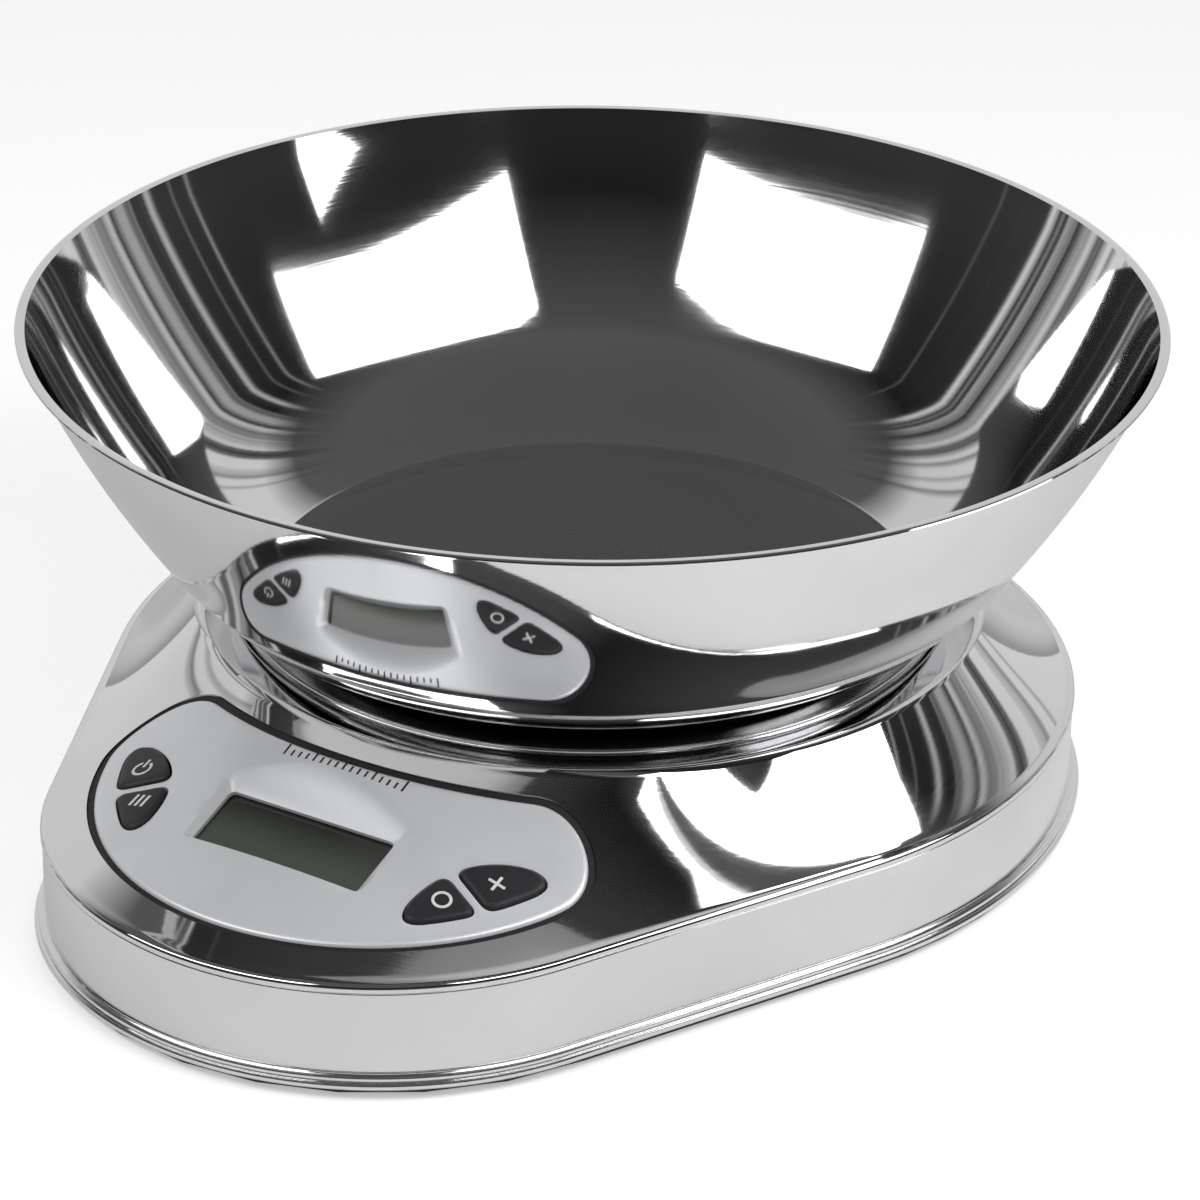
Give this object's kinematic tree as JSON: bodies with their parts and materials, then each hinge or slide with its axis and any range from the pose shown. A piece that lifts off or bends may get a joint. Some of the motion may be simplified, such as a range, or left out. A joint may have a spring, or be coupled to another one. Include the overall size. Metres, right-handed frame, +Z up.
{
  "type": "kitchen scale",
  "caption": "Digital kitchen scale: a lift-off polished steel bowl on a round weighing platform, set in an egg-shaped steel housing with a sloping display panel and press keys.",
  "frame": {"origin": "on the table, under the middle of the outline of the whole scale", "axes": "+Z up; the display faces -Y, so +X is to the right of a person who reads it"},
  "size_m": [0.24, 0.2696, 0.108],
  "materials": {
    "bowl_steel": "mirror polished stainless",
    "body_steel": "polished stainless pressing with a satin wall",
    "platform_steel": "polished stainless",
    "panel_silver": "satin silver moulding",
    "black_plastic": "fine moulded texture",
    "key_rubber": "matt black",
    "seal_rubber": "matt black",
    "foot_rubber": "matt dark grey",
    "display_window": "clear window over a dark display",
    "display_cell": "liquid crystal cell",
    "bar_aluminium": "milled",
    "zinc_steel": "zinc plated",
    "board_laminate": "solder mask",
    "chip_epoxy": "moulded epoxy",
    "gauge_coating": "white silicone",
    "battery_skin": "printed foil sleeve",
    "contact_nickel": "nickel plated spring steel",
    "lead_grey": "PVC sleeve",
    "lead_red": "PVC sleeve",
    "lead_black": "PVC sleeve"
  },
  "bodies": {
    "housing": {"lower_spacer": "zinc_steel", "load_cell": "bar_aluminium", "strain_gauge_coating": "gauge_coating", "load_cell_lead": "lead_grey", "body_shell": "body_steel", "shell_frame": "black_plastic", "control_panel": "panel_silver", "panel_gasket": "seal_rubber", "base_cover": "black_plastic", "load_cell_screw_rear": "zinc_steel", "load_cell_screw_front": "zinc_steel", "lcd_window": "display_window", "lcd_module": "display_cell", "lcd_holder": "black_plastic", "zebra_strip_front": "gauge_coating", "zebra_strip_rear": "gauge_coating", "main_board": "board_laminate", "controller_chip": "chip_epoxy", "switch_left_upper": "chip_epoxy", "switch_left_lower": "chip_epoxy", "switch_right_lower": "chip_epoxy", "switch_right_upper": "chip_epoxy", "board_screw_1": "zinc_steel", "board_screw_2": "zinc_steel", "board_screw_3": "zinc_steel", "board_screw_4": "zinc_steel", "battery_rear": "battery_skin", "battery_front": "battery_skin", "battery_contact_negative": "contact_nickel", "battery_contact_positive": "contact_nickel", "battery_contact_bridge": "contact_nickel", "battery_lead_black": "lead_black", "battery_lead_red": "lead_red", "base_screw_1": "zinc_steel", "base_screw_2": "zinc_steel", "base_screw_3": "zinc_steel", "base_screw_4": "zinc_steel", "base_screw_5": "zinc_steel", "base_screw_6": "zinc_steel", "foot_rear_left": "foot_rubber", "foot_rear_right": "foot_rubber", "foot_front_left": "foot_rubber", "foot_front_right": "foot_rubber"},
    "platform": {"platform_dish": "platform_steel", "platform_carrier": "black_plastic", "upper_spacer": "zinc_steel", "platform_screw_rear": "zinc_steel", "platform_screw_front": "zinc_steel"},
    "bowl": {"bowl": "bowl_steel"},
    "battery_door": {"battery_door": "black_plastic"},
    "key_left_upper": {"key_left_upper": "key_rubber"},
    "key_left_lower": {"key_left_lower": "key_rubber"},
    "key_right_lower": {"key_right_lower": "key_rubber"},
    "key_right_upper": {"key_right_upper": "key_rubber"}
  },
  "joints": [
    {"name": "platform_travel", "type": "slide", "parent": "housing", "child": "platform", "axis": [0, 0, 1], "range_m": [-0.0008, 0], "stiffness_N_per_m": 60000},
    {"name": "bowl_lift", "type": "slide", "parent": "platform", "child": "bowl", "axis": [0, 0, 1], "range_m": [0, 0.07]},
    {"name": "battery_door_hinge", "type": "hinge", "parent": "housing", "child": "battery_door", "pos_m": [0, -0.0475, 0.0012], "axis": [1, 0, 0], "range_deg": [0, 80]},
    {"name": "key_left_upper_press", "type": "slide", "parent": "housing", "child": "key_left_upper", "axis": [0, -0.3115, 0.9502], "range_m": [-0.0008, 0], "stiffness_N_per_m": 800, "springref_m": 0.0004},
    {"name": "key_left_lower_press", "type": "slide", "parent": "housing", "child": "key_left_lower", "axis": [0, -0.3115, 0.9502], "range_m": [-0.0008, 0], "stiffness_N_per_m": 800, "springref_m": 0.0004},
    {"name": "key_right_lower_press", "type": "slide", "parent": "housing", "child": "key_right_lower", "axis": [0, -0.3115, 0.9502], "range_m": [-0.0008, 0], "stiffness_N_per_m": 800, "springref_m": 0.0004},
    {"name": "key_right_upper_press", "type": "slide", "parent": "housing", "child": "key_right_upper", "axis": [0, -0.3115, 0.9502], "range_m": [-0.0008, 0], "stiffness_N_per_m": 800, "springref_m": 0.0004}
  ]
}
